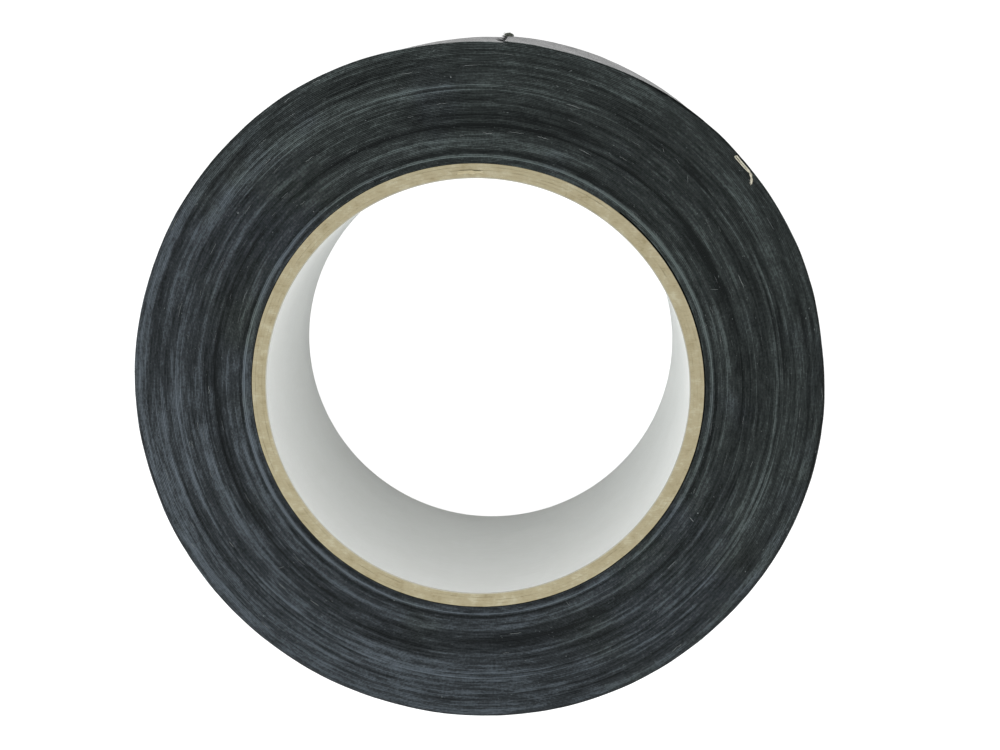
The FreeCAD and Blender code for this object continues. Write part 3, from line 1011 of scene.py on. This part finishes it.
# Short fibres that have worked out of the cut edges of the cloth.
def edgeFuzz():
    pick = np.random.default_rng(5)
    strands = []
    for _ in range(fuzz["arcs"]):
        radius = pick.uniform(*fuzz["radii"])
        azimuth = pick.normal(*fuzz["side"])
        length = pick.uniform(*fuzz["arcLengths"])
        share = np.linspace(0.0, 1.0, 6)
        turn = azimuth + np.degrees(length * share / radius)
        out = radius + pick.uniform(-0.12, 0.12) * share + 0.04 * pick.normal(size=6)
        rise = 50.02 + pick.uniform(0.03, 0.16) * np.sin(math.pi * share)
        rise += 0.02 * pick.normal(size=6)
        strands.append((wound(turn, out, rise), pick.uniform(0.018, 0.036), pick.uniform(0.0, 0.7)))
    for _ in range(fuzz["hairs"]):
        radius = pick.uniform(41.5, 61.0)
        azimuth = pick.uniform(0.0, 360.0)
        length = pick.uniform(*fuzz["hairLengths"])
        lean = pick.uniform(-1.2, 1.2)
        share = np.linspace(0.0, 1.0, 6)
        turn = azimuth + np.degrees(length * share * math.sin(lean) / radius)
        out = radius + length * share * math.cos(lean)
        rise = 50.04 + pick.uniform(0.08, 0.3) * np.sin(math.pi * share)
        strands.append((wound(turn, out, rise), pick.uniform(0.018, 0.035), pick.uniform(0.2, 1.0)))
    piece = strandMesh("upperEdgeFuzz", strands, [paleLint])
    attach(piece, "roll")


edgeFuzz()


# The bent yarn on the upper face: two thin strands side by side, then twisted together.
yarn = {
    "path": [(45.05, 42.10), (45.95, 41.05), (46.85, 40.05), (47.50, 39.40), (47.80, 38.85),
             (47.88, 38.15), (47.88, 37.55)],
    "strand": 0.115,
    "apart": 0.150,
    "height": 50.33,
    "twistFrom": 0.45,
    "filaments": 6,
    "filament": 0.028,
    "endFibres": 30,
    "startFibres": 8,
}


def bentYarn():
    pick = np.random.default_rng(23)
    corners = np.array(yarn["path"])
    steps = np.linspace(0, len(corners) - 1, 60)
    line = np.stack([np.interp(steps, range(len(corners)), corners[:, k]) for k in (0, 1)], axis=-1)
    for _ in range(6):
        line[1:-1] = (line[:-2] + 2 * line[1:-1] + line[2:]) / 4
    share = np.linspace(0.0, 1.0, len(line))
    ahead = np.gradient(line, axis=0)
    ahead /= np.linalg.norm(ahead, axis=1)[:, None]
    side = np.stack([-ahead[:, 1], ahead[:, 0]], axis=-1)
    loose = share < yarn["twistFrom"]
    twist = np.where(loose, 0.25, 0.25 + (share - yarn["twistFrom"]) * 14.0)
    gap = np.where(loose, yarn["apart"] * (1.15 - share * 0.9), yarn["apart"] * 0.72)
    strands = []
    for sign in (-1, 1):
        flat = line + side * (sign * gap * np.cos(twist))[:, None]
        rise = yarn["height"] + sign * gap * np.sin(twist) * 0.7
        rise = rise - 0.10 * (1 - share) + 0.04 * np.sin(share * 9.0 + sign)
        path = np.concatenate([flat, rise[:, None]], axis=1)
        strands.append((path, yarn["strand"], 0.62 + 0.1 * sign))
        for _ in range(yarn["filaments"]):  # wrapped round each strand
            turn = pick.uniform(0, math.tau) + share * pick.uniform(20, 32)
            wide = yarn["strand"] * 0.86
            shift = side * (wide * np.cos(turn))[:, None]
            finer = np.concatenate([flat + shift, (rise + wide * np.sin(turn))[:, None]], axis=1)
            strands.append((finer, yarn["filament"], pick.uniform(0.5, 0.9)))
    end = np.array([*line[-1], yarn["height"]])
    start = np.array([*line[0], yarn["height"] - 0.1])
    for place, heading, count in ((end, ahead[-1], yarn["endFibres"]),
                                  (start, -ahead[0], yarn["startFibres"])):
        for _ in range(count):
            aim = np.array([*heading, 0.0]) * pick.uniform(-0.2, 0.6) + pick.normal(0.0, 0.5, 3)
            aim[2] = abs(aim[2]) * 0.5
            reach = np.linspace(0.0, pick.uniform(0.14, 0.34), 5)
            bend = pick.normal(0.0, 0.25, 3) * (reach ** 2)[:, None]
            strands.append((place + aim * reach[:, None] + bend, pick.uniform(0.02, 0.05),
                            pick.uniform(0.3, 1.0)))
    piece = strandMesh("bentYarn", strands, [creamYarn], sides=6)
    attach(piece, "roll")
    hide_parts("loose_yarn")


bentYarn()

cut = {
    # the longer yarns: share of the way up the cut, and length
    "longYarns": [(0.07, 0.7), (0.16, 1.3), (0.29, 0.5), (0.43, 0.9), (0.52, 0.6), (0.68, 1.1),
                  (0.81, 0.5), (0.93, 1.5)],
    "yarnEvery": 0.45,
}
tipTurn = lastTurn + stripTurn * 4.0


# Point of the cut end at a height, with the ways along the tape and out of it.
def cutPlace(height):
    azimuth = tape["startAngle"] + 360.0 * tipTurn
    azimuth = azimuth + strip["skew"] * (0.5 - height / tape["width"])
    radius = windingRadius(tipTurn) + tape["cloth"] / 2
    place = wound(np.array(azimuth), np.array(radius), np.array(height))
    return place, np.array(alongTape(azimuth)), polar(azimuth, 1.0, 0.0)


# Yarns that stand out of the cut end.
def frayedCut():
    pick = np.random.default_rng(41)
    strands = []
    bundles = [(share * tape["width"], length, 5) for share, length in cut["longYarns"]]
    for height in np.arange(0.3, tape["width"] - 0.1, cut["yarnEvery"]):
        bundles.append((height, pick.uniform(0.08, 0.35), 2))
    for height, length, count in bundles:
        place, along, outward = cutPlace(height)
        for _ in range(count):
            start = place + outward * pick.uniform(-0.07, 0.07) - along * 0.25
            start[2] += pick.uniform(-0.09, 0.09)
            reach = np.linspace(0.0, 1.0, 6)[:, None]
            aim = along + outward * pick.uniform(-0.02, 0.22)
            aim = aim + np.array([0.0, 0.0, pick.uniform(-0.28, 0.28)])
            curl = outward * pick.uniform(0.0, 0.25) * reach ** 2
            path = start + aim * reach * (length * pick.uniform(0.6, 1.0) + 0.25)
            strands.append((path + curl * length, pick.uniform(0.025, 0.05), pick.uniform(0.1, 0.9)))
    piece = strandMesh("frayedCut", strands, [darkYarn])
    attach(piece, "tape_end_4")
    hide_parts("frayed_yarns")


tuft = {
    "height": 0.6,
    "back": 0.10,
    "out": 0.26,
    "strands": 95,
    "sizes": (0.10, 0.60),
    "stretch": (1.70, 0.88, 0.75),  # along the tape, outwards, upwards
    "strayEnds": 9,
}


# The clump of fibre at the lower corner of the cut end.
def cornerTuft():
    pick = np.random.default_rng(43)
    place, along, outward = cutPlace(tuft["height"])
    middle = place - along * tuft["back"] + outward * tuft["out"]
    axes = np.array([along, outward, (0.0, 0.0, 1.0)]) * np.array(tuft["stretch"])[:, None]
    strands = []
    for _ in range(tuft["strands"]):
        way = pick.normal(size=3)
        way /= np.linalg.norm(way)
        turn = np.linspace(0.0, pick.uniform(1.5, 4.5), 9)
        second = np.cross(way, pick.normal(size=3))
        second /= np.linalg.norm(second)
        size = pick.uniform(*tuft["sizes"])
        loop = np.cos(turn)[:, None] * way + np.sin(turn)[:, None] * second
        loop = loop * size * np.array([1.0, 1.0, 0.8]) + pick.normal(0.0, 0.05, 3)
        path = middle + loop @ axes
        path[:, 2] = np.maximum(path[:, 2], 0.04)  # clear of the floor
        strands.append((path, pick.uniform(0.028, 0.06), pick.uniform(0.0, 1.0)))
    for _ in range(tuft["strayEnds"]):
        aim = pick.normal(size=3)
        aim[2] = abs(aim[2]) * 0.4
        aim = aim / np.linalg.norm(aim) + along * 0.4
        reach = np.linspace(0.2, pick.uniform(0.7, 1.0), 6)[:, None]
        strands.append((middle + aim * reach, 0.03, pick.uniform(0.2, 0.9)))
    for sign in (-1, 0, 1):  # the yarn that it hangs on
        reach = np.linspace(-0.3, 1.0, 8)[:, None]
        path = place + along * reach + outward * (0.06 * sign + 0.10 * np.clip(reach, 0, 2))
        strands.append((path, 0.035, 0.8))
    piece = strandMesh("cornerTuft", strands, [tuftFibre])
    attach(piece, "tape_end_4")
    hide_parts("end_tuft")


frayedCut()
cornerTuft()
print("loose fibres made")


floorSetup = {"reach": 3000.0, "level": -0.01, "thick": 5.0, "grid": 9, "albedo": 0.30, "glow": 0.95}


def plainFloor():
    grid = floorSetup["grid"]
    line = np.linspace(-floorSetup["reach"], floorSetup["reach"], grid)
    wide, deep = np.meshgrid(line, line, indexing="ij")
    top = np.stack([wide, deep, np.full(wide.shape, floorSetup["level"])], axis=-1)
    under = top[:, ::-1] - np.array([0.0, 0.0, floorSetup["thick"]])
    material = bpy.data.materials.new("plainFloor")
    material.use_nodes = True
    tree = material.node_tree
    shader = tree.nodes["Principled BSDF"]
    shader.inputs["Base Color"].default_value = (floorSetup["albedo"],) * 3 + (1.0,)
    shader.inputs["Roughness"].default_value = 0.9
    shader.inputs["Specular IOR Level"].default_value = 0.0
    paths = tree.nodes.new("ShaderNodeLightPath")
    seen = mathNode(tree, "MAXIMUM", paths.outputs["Is Camera Ray"], paths.outputs["Is Glossy Ray"])
    glow = mathNode(tree, "MULTIPLY", seen, floorSetup["glow"])
    shader.inputs["Emission Color"].default_value = (1.0, 1.0, 1.0, 1.0)
    tree.links.new(glow, shader.inputs["Emission Strength"])
    floor = loft("studioFloor", np.concatenate([top, under], axis=1), [material],
                 flatColumns=(grid - 1, 2 * grid - 1))


plainFloor()
print("scene complete")
